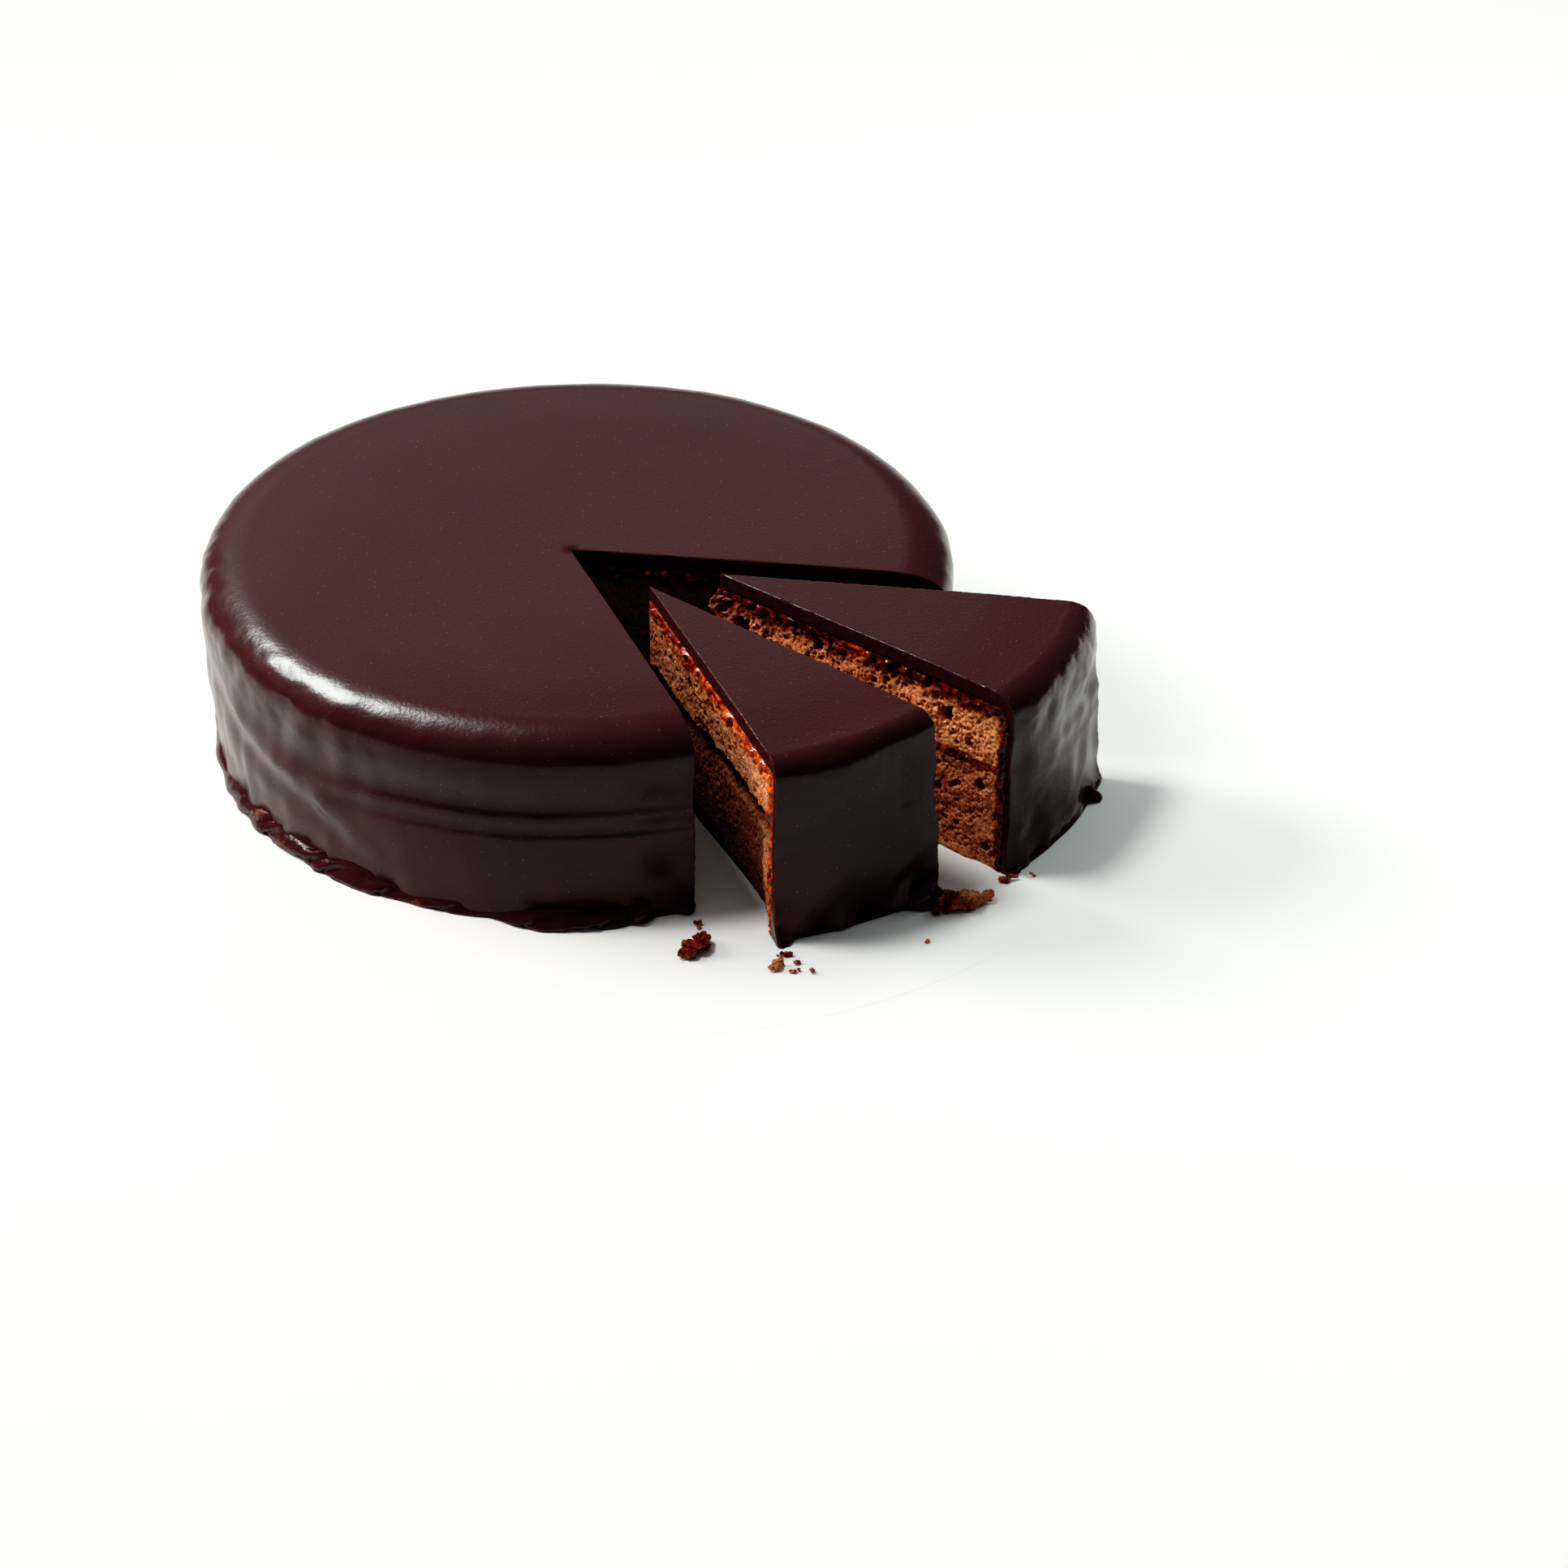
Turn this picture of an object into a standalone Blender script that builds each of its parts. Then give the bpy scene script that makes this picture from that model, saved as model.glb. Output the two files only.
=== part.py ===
"""A sachertorte with two slices cut and drawn part-way out of it.

Three wedges, the cut cake and its two slices, each hold five nested layers: two sponges with a line
of jam between them, a coat of jam over both, and the chocolate icing poured over the whole.
Metres, +Z up, standing on z = 0 with the middle of the whole object's footprint at the origin.
"""

import math

import bmesh
import bpy

# ---- driving dimensions ------------------------------------------------------------------------
CAKE_RADIUS = 0.110  # over the icing, just under the shoulder
CAKE_HEIGHT = 0.060
FOOT_TAPER = 0.003  # how much less the radius is at the foot than at the top
ICING_TOP = 0.0046
ICING_SIDE = 0.0022
JAM_COAT = 0.0020
JAM_MIDDLE = 0.0018
GAP = 0.0003  # left between touching layers
SPONGE_SPLIT = 0.0325  # underside of the middle jam
SHOULDER = 0.0110  # rounding of the icing's top edge
SPONGE_SHOULDER = 0.0055
WAIST_HEIGHT = 0.0335  # the shallow groove round the icing, level with the middle jam
WAIST_DEPTH = 0.0011
WAIST_WIDTH = 0.0055
SKIRT_HEIGHT = 0.0040  # the icing that ran down and set in folds round the foot
SKIRT_FLARE = 0.0020
FLAP_FLARE = 0.0050  # the widest fold, by the front cut
FLAP_ANGLE = math.radians(-80.0)
FLAP_SPREAD = math.radians(12.0)
ANGLE_STEP = math.radians(6.0)
SHOULDER_STEPS = 6

# Wedges: the first and last cut in degrees about +Z from +X, and how far the tip is drawn out.
WEDGES = {
    "cake": (-7.7, 290.4, (0.0, 0.0)),
    "slice_1": (-69.4, -40.9, (0.0235, -0.0213)),
    "slice_2": (-40.0, -8.4, (0.0439, -0.0142)),
}

# Base colour, roughness and clear coat of each layer.
LAYER_LOOKS = {
    "icing": ((0.045, 0.018, 0.016), 0.30, 0.4),
    "jam_coat": ((0.200, 0.035, 0.012), 0.15, 0.8),
    "jam_middle": ((0.220, 0.045, 0.012), 0.15, 0.8),
    "sponge": ((0.230, 0.075, 0.030), 0.90, 0.0),
}


# ---- outlines, as points (radius, height) ------------------------------------------------------
def side_radius(z, inset):
    """Radius of an upright side at a height, set in from the outside by the layers over it."""
    return CAKE_RADIUS - FOOT_TAPER * (1.0 - z / CAKE_HEIGHT) - inset


def shoulder(top, inset, rounding, steps):
    """The quarter round from the side up on to the flat top."""
    centre_z = top - rounding
    centre_r = side_radius(centre_z, inset) - rounding
    points = []
    for step in range(steps + 1):
        turn = 0.5 * math.pi * step / steps
        points.append((centre_r + rounding * math.cos(turn), centre_z + rounding * math.sin(turn)))
    return points


def dome(top, inset, rounding, steps):
    """Foot, shoulder and centre of a layer's face that goes over the top and down to the table."""
    return [(side_radius(0.0, inset), 0.0)] + shoulder(top, inset, rounding, steps) + [(0.0, top)]


def skirt(angle):
    """How far the foot of the icing stands out: small folds all round, and one wide flap."""
    folds = 0.6 + 0.25 * math.sin(7.0 * angle + 0.6) + 0.15 * math.sin(17.0 * angle)
    turn = math.remainder(angle - FLAP_ANGLE, 2.0 * math.pi)
    return SKIRT_FLARE * folds + FLAP_FLARE * math.exp(-((turn / FLAP_SPREAD) ** 2))


def icing_outside(angle):
    """The icing's outer face at one angle, from the foot up to the centre of the top."""
    flare = skirt(angle)
    points = [
        (side_radius(0.0, 0.0) + flare, 0.0),
        (side_radius(0.0, 0.0) + 0.9 * flare, 0.4 * SKIRT_HEIGHT),
        (side_radius(SKIRT_HEIGHT, 0.0), SKIRT_HEIGHT),
    ]
    for offset in (-3.0, -2.0, -1.0, -0.5, 0.0, 0.5, 1.0, 2.0):
        z = WAIST_HEIGHT + offset * WAIST_WIDTH
        points.append((side_radius(z, WAIST_DEPTH * math.exp(-offset * offset)), z))
    return points + shoulder(CAKE_HEIGHT, 0.0, SHOULDER, SHOULDER_STEPS) + [(0.0, CAKE_HEIGHT)]


COAT_INSET = ICING_SIDE + GAP
COAT_TOP = CAKE_HEIGHT - ICING_TOP - GAP
SPONGE_INSET = COAT_INSET + JAM_COAT + GAP
SPONGE_TOP = COAT_TOP - JAM_COAT - GAP
COAT_SHOULDER = SPONGE_SHOULDER + GAP + JAM_COAT


def shell(outside, inset, top, rounding):
    """An outline between an outer face and the inner face that leaves room for what is inside."""
    return outside + dome(top, inset, rounding, SHOULDER_STEPS - 2)[::-1]


def icing(angle):
    return shell(icing_outside(angle), ICING_SIDE, COAT_TOP + GAP, COAT_SHOULDER + GAP)


def jam_coat(angle):
    outside = dome(COAT_TOP, COAT_INSET, COAT_SHOULDER, SHOULDER_STEPS - 2)
    return shell(outside, SPONGE_INSET - GAP, SPONGE_TOP + GAP, SPONGE_SHOULDER + GAP)


def slab(low, high):
    """A layer with a plain upright side that reaches in to the tip."""
    return [
        (0.0, low),
        (side_radius(low, SPONGE_INSET), low),
        (side_radius(high, SPONGE_INSET), high),
        (0.0, high),
    ]


def sponge_lower(angle):
    return slab(0.0, SPONGE_SPLIT - GAP)


def jam_middle(angle):
    return slab(SPONGE_SPLIT, SPONGE_SPLIT + JAM_MIDDLE)


def sponge_upper(angle):
    low = SPONGE_SPLIT + JAM_MIDDLE + GAP
    rounded = shoulder(SPONGE_TOP, SPONGE_INSET, SPONGE_SHOULDER, SHOULDER_STEPS - 2)
    return [(0.0, low), (side_radius(low, SPONGE_INSET), low)] + rounded + [(0.0, SPONGE_TOP)]


LAYERS = {
    "sponge_lower": sponge_lower,
    "jam_middle": jam_middle,
    "sponge_upper": sponge_upper,
    "jam_coat": jam_coat,
    "icing": icing,
}


# ---- solids ------------------------------------------------------------------------------------
def wedge_mesh(name, layer, first, last):
    """A layer's outline carried round the upright axis from one cut to the other, and closed."""
    steps = max(1, round((last - first) / ANGLE_STEP))
    bm = bmesh.new()
    on_axis = {}
    rings = []
    for step in range(steps + 1):
        angle = first + (last - first) * step / steps
        ring = []
        for radius, z in layer(angle):
            if radius == 0.0:
                if z not in on_axis:
                    on_axis[z] = bm.verts.new((0.0, 0.0, z))
                ring.append(on_axis[z])
            else:
                ring.append(bm.verts.new((radius * math.cos(angle), radius * math.sin(angle), z)))
        rings.append(ring)
    for ring, following in zip(rings, rings[1:]):
        for here in range(len(ring)):
            there = (here + 1) % len(ring)
            corners = [ring[here], ring[there], following[there], following[here]]
            corners = list(dict.fromkeys(corners))
            if len(corners) > 2:
                bm.faces.new(corners)
    bm.faces.new(rings[0])
    bm.faces.new(rings[-1])
    bmesh.ops.recalc_face_normals(bm, faces=bm.faces)
    mesh = bpy.data.meshes.new(name)
    bm.to_mesh(mesh)
    bm.free()
    mesh.shade_smooth()
    mesh.set_sharp_from_angle(angle=math.radians(40.0))
    return mesh


def layer_material(look):
    """One material for each kind of layer."""
    colour, roughness, coat = LAYER_LOOKS[look]
    material = bpy.data.materials.new(look)
    material.use_nodes = True
    shader = material.node_tree.nodes["Principled BSDF"]
    shader.inputs["Base Color"].default_value = (*colour, 1.0)
    shader.inputs["Roughness"].default_value = roughness
    shader.inputs["Metallic"].default_value = 0.0
    shader.inputs["Coat Weight"].default_value = coat
    return material


def footprint_middle(objects):
    """The middle of the box round all the layers, seen from above."""
    xs = [obj.location.x + vertex.co.x for obj in objects for vertex in obj.data.vertices]
    ys = [obj.location.y + vertex.co.y for obj in objects for vertex in obj.data.vertices]
    return 0.5 * (min(xs) + max(xs)), 0.5 * (min(ys) + max(ys))


def build():
    for obj in list(bpy.data.objects):
        bpy.data.objects.remove(obj)
    materials = {look: layer_material(look) for look in LAYER_LOOKS}
    objects = []
    for wedge, (first, last, tip) in WEDGES.items():
        for layer, outline in LAYERS.items():
            name = f"{wedge}_{layer}"
            mesh = wedge_mesh(name, outline, math.radians(first), math.radians(last))
            mesh.materials.append(materials["sponge" if layer.startswith("sponge") else layer])
            obj = bpy.data.objects.new(name, mesh)
            obj.location = (*tip, 0.0)
            bpy.context.scene.collection.objects.link(obj)
            objects.append(obj)
    middle_x, middle_y = footprint_middle(objects)
    for obj in objects:
        obj.location.x -= middle_x
        obj.location.y -= middle_y


build()
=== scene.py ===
"""Looks of a sachertorte with two slices drawn part-way out of it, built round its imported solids.

Every layer starts as a flat grid, shaped to the layer's upright section, that is spun from one cut
to the other. Crumb, pores, jam and ripples of the icing are then worked into it. Lengths are
written in millimetres and turned into metres when a piece is placed.
"""

import itertools
import math

import bpy
import numpy as np
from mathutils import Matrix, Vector


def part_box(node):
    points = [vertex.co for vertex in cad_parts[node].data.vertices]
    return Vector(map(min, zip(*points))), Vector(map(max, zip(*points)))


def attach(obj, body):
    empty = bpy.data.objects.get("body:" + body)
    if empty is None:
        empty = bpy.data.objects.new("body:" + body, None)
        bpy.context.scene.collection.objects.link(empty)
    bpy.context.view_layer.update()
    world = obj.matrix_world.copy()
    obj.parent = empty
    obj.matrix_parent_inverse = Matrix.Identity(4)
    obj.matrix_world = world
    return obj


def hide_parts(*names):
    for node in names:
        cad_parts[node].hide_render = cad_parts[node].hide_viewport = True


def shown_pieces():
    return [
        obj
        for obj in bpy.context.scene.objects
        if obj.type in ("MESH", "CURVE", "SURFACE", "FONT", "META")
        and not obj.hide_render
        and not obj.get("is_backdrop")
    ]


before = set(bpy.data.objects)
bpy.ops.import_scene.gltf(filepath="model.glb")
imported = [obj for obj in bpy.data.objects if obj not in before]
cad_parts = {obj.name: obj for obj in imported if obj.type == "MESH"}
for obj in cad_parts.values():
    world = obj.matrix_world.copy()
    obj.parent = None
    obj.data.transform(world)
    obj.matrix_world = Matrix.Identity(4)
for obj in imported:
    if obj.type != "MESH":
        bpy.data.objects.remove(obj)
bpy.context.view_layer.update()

MM = 0.001

# ---- sizes of the cake, in millimetres ----------------------------------------------------------
TOP = 60.0  # height of the icing's top
RADIUS = 110.0  # just under the shoulder
FOOT_RADIUS = 107.6
WAIST = (33.0, 9.0, 0.9)  # height, half width and depth of the broad hollow round the side
# The two soft lines in the hollow are small ledges: height, half width, how far the icing over the
# ledge is set in, and the height over which that dies away.
LEDGES = ((34.2, 2.3, 1.35, 13.0), (27.3, 1.6, 0.62, 5.0))
ICING_SIDE = 2.4
ICING_TOP = 4.6
JAM_SIDE = 2.2
JAM_TOP = 2.3
JAM_LINE = (32.2, 34.0)  # underside and top of the middle jam
SQUARENESS = 0.94  # of the icing's shoulder: 1 would be a true quarter round
ARRIS = 0.4  # rounding of the icing's cut edges
RING_GAPS = (0.12, 0.28, 0.6, 1.1)  # how far the icing's first rings are from a cut
BEAD_SIDES = 22
STRAND = 15.0  # length of one slanting fold along the foot
NEAR_FLOOR = 156.0  # radius of the floor that throws light back on to the cake

rng = np.random.default_rng(1832)


# ---- noise --------------------------------------------------------------------------------------
def cell_value(cells, seed):
    """A fixed random number from -1 to 1 for each cell of a lattice."""
    mixed = cells @ np.array([374761393, 668265263, 974634777]) + seed * 362437
    mixed = (mixed ^ (mixed >> 13)) & 0xFFFFFFFF
    mixed = (mixed * 1274126177) & 0xFFFFFFFF
    mixed ^= mixed >> 16
    return (mixed & 0xFFFF) / 32767.5 - 1.0


def noise(points, size, seed=0):
    """Smooth noise, mostly from -1 to 1, with bumps about one size across."""
    scaled = points / size + 0.37 * seed
    base = np.floor(scaled).astype(np.int64)
    part = scaled - base
    fade = part**3 * (part * (6.0 * part - 15.0) + 10.0)
    total = np.zeros(len(points))
    for corner in itertools.product((0, 1), repeat=3):
        corner = np.array(corner)
        share = np.prod(np.where(corner == 1, fade, 1.0 - fade), axis=1)
        slope = [cell_value(base + corner, seed + turn) for turn in (0, 101, 202)]
        total += share * np.sum(np.column_stack(slope) * (part - corner), axis=1)
    return 1.9 * total


def eased(value, low, high):
    """0 below low, 1 above high, and a smooth step between."""
    share = np.clip((value - low) / (high - low), 0.0, 1.0)
    return share * share * (3.0 - 2.0 * share)


def bell(value, middle, width):
    return np.exp(-(((value - middle) / width) ** 2))


# ---- outlines -----------------------------------------------------------------------------------
def side_radius(z):
    """Radius of the icing's side at a height."""
    radius = FOOT_RADIUS + (RADIUS - FOOT_RADIUS) * eased(z, -20.0, 50.0)
    height, width, depth = WAIST
    return radius - depth * bell(z, height, width)


class Profile:
    """The icing's outer face from the foot to the middle of the top, and faces set in from it."""

    def __init__(self, side_top, reach):
        self.side_top = side_top
        z = np.linspace(0.0, side_top, 240)
        side = np.column_stack([side_radius(z), z])
        turn = np.linspace(0.0, 0.5 * math.pi, 160)[1:]
        rise = (TOP - side_top) * np.sin(turn) ** SQUARENESS
        inwards = reach * (1.0 - np.cos(turn) ** SQUARENESS)
        shoulder = np.column_stack([side[-1, 0] - inwards, side_top + rise])
        radius = np.linspace(shoulder[-1, 0], 0.0, 400)[1:]
        flat = np.column_stack([radius, np.full(len(radius), TOP)])
        line = np.vstack([side, shoulder, flat])
        line[:, 1] -= 0.4 * eased(line[:, 0], 76.0, 104.0) * eased(line[:, 1], side_top, TOP)
        self.line = line
        steps = np.linalg.norm(np.diff(line, axis=0), axis=1)
        self.lengths = np.concatenate([[0.0], np.cumsum(steps)])
        self.whole = self.lengths[-1]
        self.tangents = np.gradient(line, self.lengths, axis=0)
        self.tangents /= np.linalg.norm(self.tangents, axis=1)[:, None]
        self.flat_from = self.lengths[len(side) + len(shoulder)]

    def crowded(self, count, flat_share):
        """Lengths along the face: close together up to the shoulder, wider apart on the top."""
        share = np.linspace(0.0, 1.0, count + 1)
        turn = [0.0, self.flat_from + 4.0, self.whole]
        return np.interp(share, [0.0, 1.0 - flat_share, 1.0], turn)

    def tangent(self, length):
        return [np.interp(length, self.lengths, self.tangents[:, axis]) for axis in (0, 1)]

    def inset(self, length, side, top):
        """Points of the face at these lengths, set in by layers that are thicker on top."""
        r = np.interp(length, self.lengths, self.line[:, 0])
        z = np.interp(length, self.lengths, self.line[:, 1])
        along_r, along_z = self.tangent(length)
        depth = side + (top - side) * eased(length, self.side_top - 4.0, self.flat_from)
        middle = length > self.whole - 1e-6
        return np.where(middle, 0.0, r - along_z * depth), z + along_r * depth


# ---- wedges -------------------------------------------------------------------------------------
class Wedge:
    """One of the three pieces the cake is cut into, about its own upright axis."""

    def __init__(self, name, first, last, axis, profile, recess=0.0, holes=()):
        self.name, self.first, self.last = name, math.radians(first), math.radians(last)
        self.axis = np.array([axis[0], axis[1]]) / MM
        self.profile = profile
        self.whole = name == "cake"
        self.recess = recess  # height of the crumb torn out of the first cut by the middle jam
        self.holes = holes  # the large holes in the first cut

    def node(self, layer):
        return f"{self.name}_{layer}"

    def bulge(self, angle, z):
        """How far the wedge's side is out of round at an angle and height."""
        if self.name == "cake":
            lean = 1.9 * np.cos(angle - math.radians(50.0)) - 0.6
            lean = lean + 0.5 * np.sin(3.0 * angle + 0.4) + 0.35 * np.sin(5.0 * angle + 2.0)
            swell = 1.2 + 1.2 * np.cos(angle - math.radians(115.0))
            swell = swell + 1.6 * bell(angle, math.radians(38.0), math.radians(32.0))
            swell = swell - 0.6 * bell(angle, math.radians(192.0), math.radians(18.0))
            tuck = 1.4 * bell(angle, math.radians(215.0), math.radians(25.0))
            return lean + swell - (0.6 * swell + tuck) * (1.0 - eased(z, 0.0, 30.0))
        share = (angle - self.first) / (self.last - self.first)
        slump = share * share * (1.0 - z / TOP)
        if self.name == "slice_1":
            return -5.0 + 3.5 * share + 3.6 * slump
        return -0.3 + 0.8 * np.sin(math.pi * share) + 0.5 * share + 5.0 * slump

    def out_of_round(self, radius, angle, z):
        return radius * (1.0 + self.bulge(angle, z) / RADIUS)

    def painted_jam_light(self, cut, radius):
        """How bright the jam of a cut face, and the crumb that has soaked it up, are painted: high
        where light falls on the jam or glows through it, low in shade such as the cake's notch.
        """
        if self.whole or cut != self.first:
            return np.full(len(radius), 0.12 if self.whole else 0.3)
        if self.name == "slice_1":
            return 0.45 + 0.5 * eased(radius, 20.0, 75.0)
        return 0.06 + 0.55 * bell(radius, 52.0, 4.0) + 0.05 * eased(radius, 70.0, 92.0)

    def calm(self, angle):
        """How much the icing's side is rippled: less on the cake's front than on its left."""
        if not self.whole:
            return np.full(len(angle), 0.8 if self.name == "slice_1" else 1.45)
        left = eased(angle, math.radians(150.0), math.radians(190.0))
        return 0.5 + left * (1.0 - eased(angle, math.radians(225.0), math.radians(258.0)))

    def lined(self, angle):
        """How strongly the two soft lines show: hardly at all on the cake's left."""
        if not self.whole:
            return 0.5
        return 0.15 + 0.85 * eased(angle, math.radians(218.0), math.radians(240.0))

    def tip_crumb(self, points, radius):
        """Sponge that the knife pushed out past the tip."""
        if self.name != "slice_2":
            return points
        middle = 0.5 * (self.first + self.last)
        push = 3.2 * bell(points[:, 2], 49.5, 3.6) * (1.0 - eased(radius, 0.0, 9.0))
        push = push * (1.0 + 0.4 * noise(points, 2.0, 19))
        back = np.array([-math.cos(middle), -math.sin(middle) - 0.35, 0.0])
        return points + push[:, None] * back

    def polar(self, points):
        """Radius, angle and height of points about the axis."""
        offset = points[:, :2] - self.axis
        angle = np.arctan2(offset[:, 1], offset[:, 0])
        middle = 0.5 * (self.first + self.last)
        angle = middle + np.remainder(angle - middle + math.pi, 2.0 * math.pi) - math.pi
        return np.hypot(offset[:, 0], offset[:, 1]), angle, points[:, 2].copy()

    def place(self, radius, angle, z):
        return np.column_stack(
            [self.axis[0] + radius * np.cos(angle), self.axis[1] + radius * np.sin(angle), z]
        )


def cake_axis():
    low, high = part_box("cake_jam_middle")
    radius = 0.5 * (high.y - low.y)
    return low.x + radius, 0.5 * (low.y + high.y)


def slice_axis(name):
    low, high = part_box(name + "_jam_middle")
    return low.x, high.y


# Radius, height and size of each large hole in the second slice's first cut.
HOLES = (
    (84.5, 45.0, 2.5),
    (8.5, 45.5, 2.6),
    (37.0, 50.0, 1.9),
    (93.0, 38.5, 1.3),
    (97.0, 26.0, 1.8),
    (82.0, 20.0, 1.2),
)
CAKE = Wedge("cake", -7.7, 290.4, cake_axis(), Profile(50.0, 15.0))
SLICE_1 = Wedge("slice_1", -69.4, -40.9, slice_axis("slice_1"), Profile(53.0, 7.0), recess=4.6)
SLICE_2 = Wedge("slice_2", -40.0, -8.4, slice_axis("slice_2"), Profile(51.0, 8.0), holes=HOLES)
WEDGES = (CAKE, SLICE_1, SLICE_2)


# ---- pieces -------------------------------------------------------------------------------------
def deselect_all():
    if bpy.context.object and bpy.context.object.mode != "OBJECT":
        bpy.ops.object.mode_set(mode="OBJECT")
    bpy.ops.object.select_all(action="DESELECT")


def corners(piece):
    """The piece's points in millimetres."""
    values = np.empty(len(piece.data.vertices) * 3)
    piece.data.vertices.foreach_get("co", values)
    return values.reshape(-1, 3) / MM


def move_corners(piece, points):
    piece.data.vertices.foreach_set("co", (points * MM).astype(np.float32).ravel())
    piece.data.update()


def note(piece, name, values):
    """Writes one number at each point of the piece."""
    attribute = piece.data.attributes.get(name) or piece.data.attributes.new(name, "FLOAT", "POINT")
    attribute.data.foreach_set("value", np.asarray(values, np.float32))


def noted(piece, name):
    values = np.empty(len(piece.data.vertices), np.float32)
    piece.data.attributes[name].data.foreach_get("value", values)
    return values.astype(float)


def spin_round(wedge, steps):
    """Carries the active piece's flat section from the wedge's first cut to its last."""
    bpy.ops.object.mode_set(mode="EDIT")
    bpy.ops.mesh.select_all(action="SELECT")
    bpy.ops.mesh.spin(
        steps=steps,
        angle=wedge.first - wedge.last,  # the operator turns clockwise about its axis
        center=(*(wedge.axis * MM), 0.0),
        axis=(0.0, 0.0, 1.0),
    )
    bpy.ops.mesh.select_all(action="SELECT")
    bpy.ops.mesh.remove_doubles(threshold=1e-6)
    bpy.ops.mesh.normals_make_consistent(inside=False)
    bpy.ops.object.mode_set(mode="OBJECT")


def spun_layer(name, wedge, section, columns, rows, steps):
    """A grid shaped to a section at the wedge's first cut and spun round to its last."""
    deselect_all()
    bpy.ops.mesh.primitive_grid_add(x_subdivisions=columns, y_subdivisions=rows, size=1.0)
    piece = bpy.context.object
    piece.name = piece.data.name = name
    flat = corners(piece) * MM + 0.5
    along, across = flat[:, 0], flat[:, 1]
    radius, z = section(along, across)
    note(piece, "along", along)
    note(piece, "across", across)
    move_corners(piece, wedge.place(radius, np.full(len(radius), wedge.first), z))
    spin_round(wedge, steps)
    return piece


def out_of_round(piece, wedge):
    """The piece's points with its wedge out of round, and their radius, angle and height."""
    radius, angle, z = wedge.polar(corners(piece))
    radius = wedge.out_of_round(radius, angle, z)
    return wedge.place(radius, angle, z), radius, angle, z


def finished(piece, node_names, material, sharp=None):
    """Shades a piece, gives it its material, and stands it in for the solids it shows."""
    deselect_all()
    piece.select_set(True)
    bpy.context.view_layer.objects.active = piece
    if sharp is None:
        bpy.ops.object.shade_smooth()
    else:
        bpy.ops.object.shade_smooth_by_angle(angle=math.radians(sharp))
    piece.data.materials.clear()
    piece.data.materials.append(material)
    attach(piece, "root")
    if node_names:
        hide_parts(*node_names)
    return piece


# ---- relief on the cut faces --------------------------------------------------------------------
def scattered(extent, per_area, smallest, largest, draws):
    """Random centres over a rectangle with a radius for each, mostly small."""
    (low_x, low_y), (high_x, high_y) = extent
    count = int((high_x - low_x) * (high_y - low_y) * per_area)
    centres = np.column_stack(
        [draws.uniform(low_x, high_x, count), draws.uniform(low_y, high_y, count)]
    )
    return centres, smallest + (largest - smallest) * draws.random(count) ** 2.2


def domes(spots, centres, radii, sharpness):
    """The highest dome over each spot, from 0 between the domes to a radius at a centre."""
    height = np.zeros(len(spots))
    order = np.argsort(spots[:, 0])
    ranked = spots[order, 0]
    for centre, radius in zip(centres, radii):
        start, end = np.searchsorted(ranked, [centre[0] - radius, centre[0] + radius])
        near = order[start:end]
        gap = np.linalg.norm(spots[near] - centre, axis=1) / radius
        rise = radius * np.clip(1.0 - gap * gap, 0.0, 1.0) ** sharpness
        height[near] = np.maximum(height[near], rise)
    return height


def cut_faces(wedge, radius, angle):
    """For each cut, which points lie on it and the sideways direction out of the wedge."""
    close = 1e-4
    for cut, way in ((wedge.first, -1.0), (wedge.last, 1.0)):
        on = (np.abs(angle - cut) < close) & (radius > 1e-3)
        yield cut, on, way * np.array([-math.sin(cut), math.cos(cut), 0.0])


# ---- sponge -------------------------------------------------------------------------------------
SPONGE_REACH = RADIUS - ICING_SIDE - JAM_SIDE  # from the axis to the jam coat
TORN_MIDDLE, TORN_REACH = 73.0, 26.0  # where crumb is torn back beside the middle jam


def sponge_section(profile, low, high):
    """A slab from low to high, or up to the dome of the sponge's own top where high is None."""
    length = np.linspace(profile.side_top - 2.0, profile.whole, 400)
    r, z = profile.inset(length, ICING_SIDE + JAM_SIDE, ICING_TOP + JAM_TOP)

    def section(along, across):
        crown = high if high else np.interp(along * SPONGE_REACH, r[::-1], z[::-1])
        height = low + (crown - low) * across
        return along * (side_radius(height) - ICING_SIDE - JAM_SIDE), height

    return section


def crumb_relief(points, spots, extent, draws):
    """How far the crumb of a cut face stands out, and how deep its pores are, a depth that is
    painted as shade.
    """
    grains = 0.26 * noise(points, 0.85, 11) + 0.15 * noise(points, 0.48, 12)
    swell = 0.30 * noise(points, 3.2, 13) + 0.45 * noise(points, 11.0, 14)
    fine = domes(spots, *scattered(extent, 0.22, 0.28, 0.75, draws), 0.7)
    small = domes(spots, *scattered(extent, 0.05, 0.5, 1.1, draws), 0.6)
    large = domes(spots, *scattered(extent, 0.004, 1.0, 2.0, draws), 0.45)
    hollow = np.maximum(np.maximum(1.0 * fine, 1.2 * small), 1.5 * large)
    return grains + swell - 0.3 - hollow, np.clip(hollow / 1.1, 0.0, 1.0)


def open_holes(wedge, face, radius, z):
    """How far the large holes of a cut face are open at each point."""
    opened = np.zeros(len(face))
    for place_r, place_z, size in wedge.holes:
        gap = np.hypot(radius - place_r, (z - place_z) * 0.85) / size + 0.25 * noise(face, 1.6, 15)
        opened = np.maximum(opened, np.clip(1.0 - gap * gap, 0.0, 1.0) ** 0.4)
    return opened


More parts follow.
